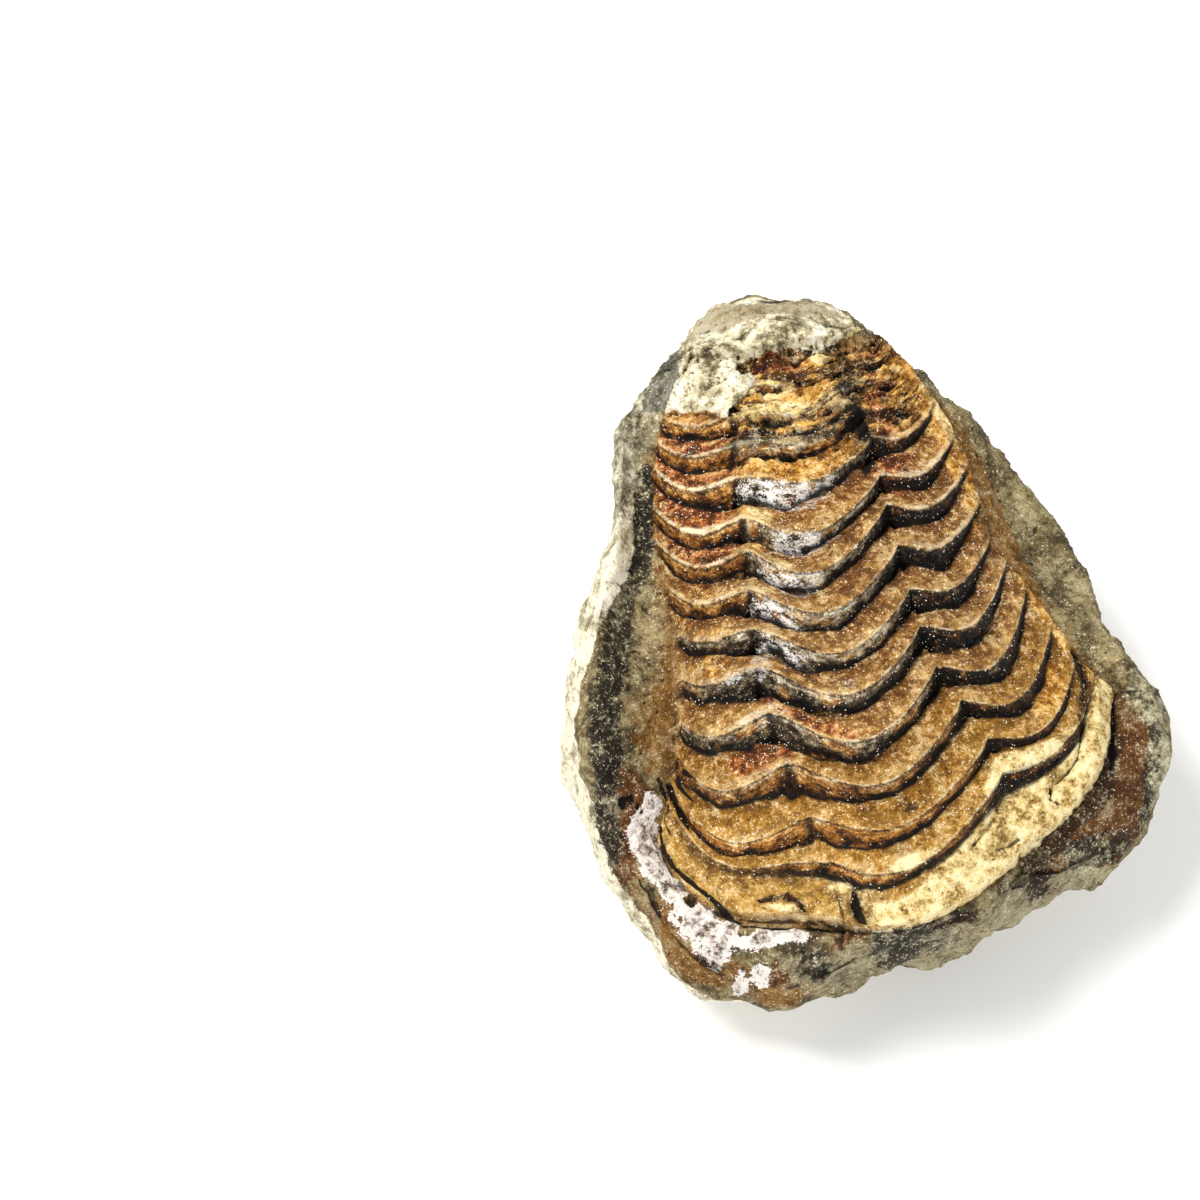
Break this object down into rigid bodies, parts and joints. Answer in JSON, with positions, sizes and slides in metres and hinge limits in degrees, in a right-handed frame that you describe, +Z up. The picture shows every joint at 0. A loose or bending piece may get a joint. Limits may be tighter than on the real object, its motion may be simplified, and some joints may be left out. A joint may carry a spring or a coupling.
{
  "type": "fossil trilobite",
  "caption": "Half of a split stone nodule with a ribbed, three-lobed fossil trilobite raised on its fracture face, resting on its rounded back; a display specimen.",
  "frame": {"origin": "centre of the bounding box in plan, at the small natural flat under the nodule that it rests on", "axes": "+X to the right, +Y from the broken head end toward the tail of the trilobite, +Z up out of the fracture face"},
  "size_m": [0.0682, 0.0838, 0.0347],
  "materials": {
    "stone": "matte, rough, iron-stained limestone"
  },
  "bodies": {
    "root": {"trilobite_nodule_half": "stone"}
  },
  "joints": []
}
